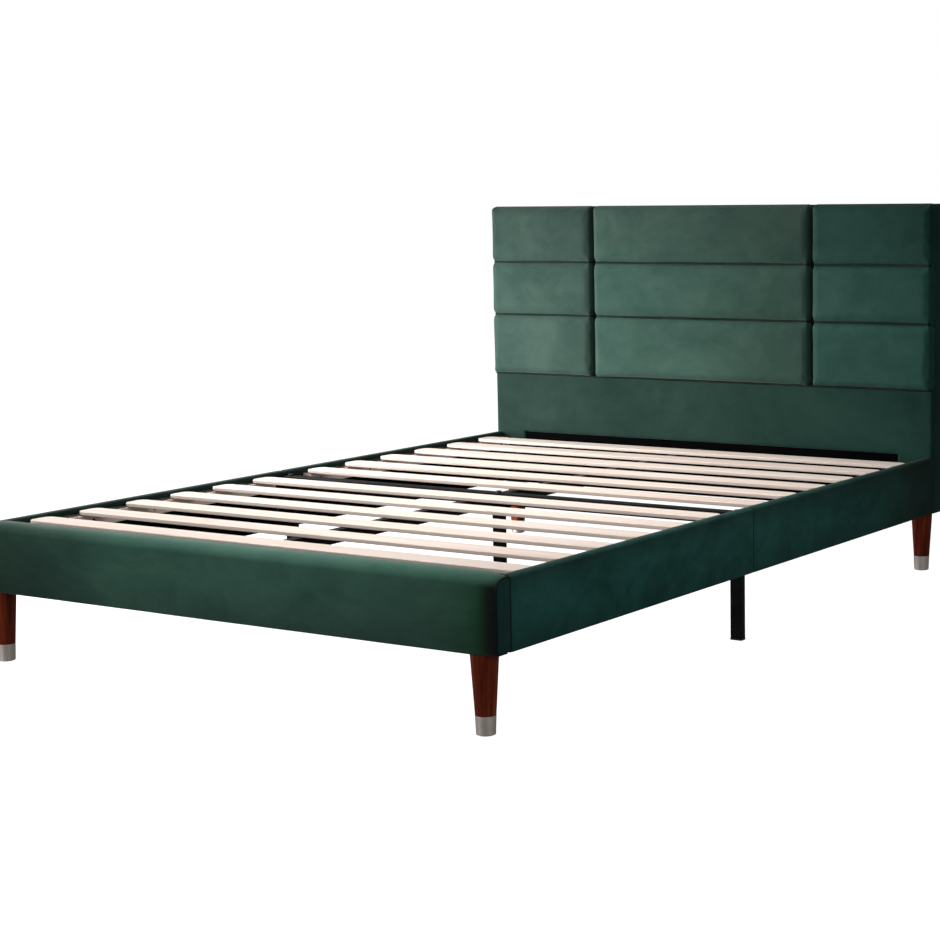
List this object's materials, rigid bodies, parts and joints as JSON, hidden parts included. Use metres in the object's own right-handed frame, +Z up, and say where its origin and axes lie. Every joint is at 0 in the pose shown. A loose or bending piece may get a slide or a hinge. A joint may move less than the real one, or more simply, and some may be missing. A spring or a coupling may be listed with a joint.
{
  "type": "upholstered headboard bed",
  "caption": "Double bed frame with a channelled velvet headboard, padded rails, a slatted base, steel centre supports and turned wooden legs.",
  "frame": {"origin": "middle of the overall footprint, on the floor", "axes": "+X to the right when looking from the foot towards the head, +Y towards the head, +Z up"},
  "size_m": [1.452, 2.126, 1.004],
  "materials": {
    "velvet": "short pile velvet over foam",
    "black_cloth": "non-woven lining",
    "webbing": "woven tape",
    "slat_birch": "sanded, unfinished",
    "ledger_pine": "planed, unfinished",
    "panel_board": "raw board",
    "frame_timber": "sawn softwood",
    "walnut_stain": "satin stain",
    "nickel": "brushed",
    "zinc_steel": "zinc plated",
    "dark_steel": "black oxide",
    "black_steel": "black powder coat",
    "black_plastic": "moulded",
    "nylon": "moulded"
  },
  "bodies": {
    "root": {"beam_saddles": "black_steel", "centre_beam_front": "black_steel", "centre_beam_rear": "black_steel", "corner_brackets": "black_steel", "cross_bar": "black_steel", "foot_rail_board": "panel_board", "foot_rail_cover": "velvet", "foot_rail_end_panels": "velvet", "frame_bolts": "dark_steel", "headboard_back_cloth": "black_cloth", "headboard_edge_cover": "velvet", "headboard_frame": "frame_timber", "headboard_front_board": "panel_board", "headboard_inset_cloth": "black_cloth", "headboard_lower_cover": "velvet", "headboard_pad_centre": "velvet", "headboard_pad_left": "velvet", "headboard_pad_right": "velvet", "ledger_screws": "dark_steel", "leg_bolts": "zinc_steel", "leg_ferrule_front_left": "nickel", "leg_ferrule_front_right": "nickel", "leg_ferrule_rear_left": "nickel", "leg_ferrule_rear_right": "nickel", "leg_front_left": "walnut_stain", "leg_front_right": "walnut_stain", "leg_glides": "nylon", "leg_rear_left": "walnut_stain", "leg_rear_right": "walnut_stain", "rail_joint_plates": "black_steel", "rail_linings": "black_cloth", "side_rail_board_left_front": "panel_board", "side_rail_board_left_rear": "panel_board", "side_rail_board_right_front": "panel_board", "side_rail_board_right_rear": "panel_board", "side_rail_cover_left_front": "velvet", "side_rail_cover_left_rear": "velvet", "side_rail_cover_right_front": "velvet", "side_rail_cover_right_rear": "velvet", "slat_01": "slat_birch", "slat_02": "slat_birch", "slat_03": "slat_birch", "slat_04": "slat_birch", "slat_05": "slat_birch", "slat_06": "slat_birch", "slat_07": "slat_birch", "slat_08": "slat_birch", "slat_09": "slat_birch", "slat_10": "slat_birch", "slat_11": "slat_birch", "slat_12": "slat_birch", "slat_ledger_left_front": "ledger_pine", "slat_ledger_left_rear": "ledger_pine", "slat_ledger_right_front": "ledger_pine", "slat_ledger_right_rear": "ledger_pine", "slat_straps": "webbing", "support_leg_caps": "black_plastic", "support_leg_centre": "black_steel", "support_leg_left": "black_steel", "support_leg_right": "black_steel"}
  },
  "joints": []
}
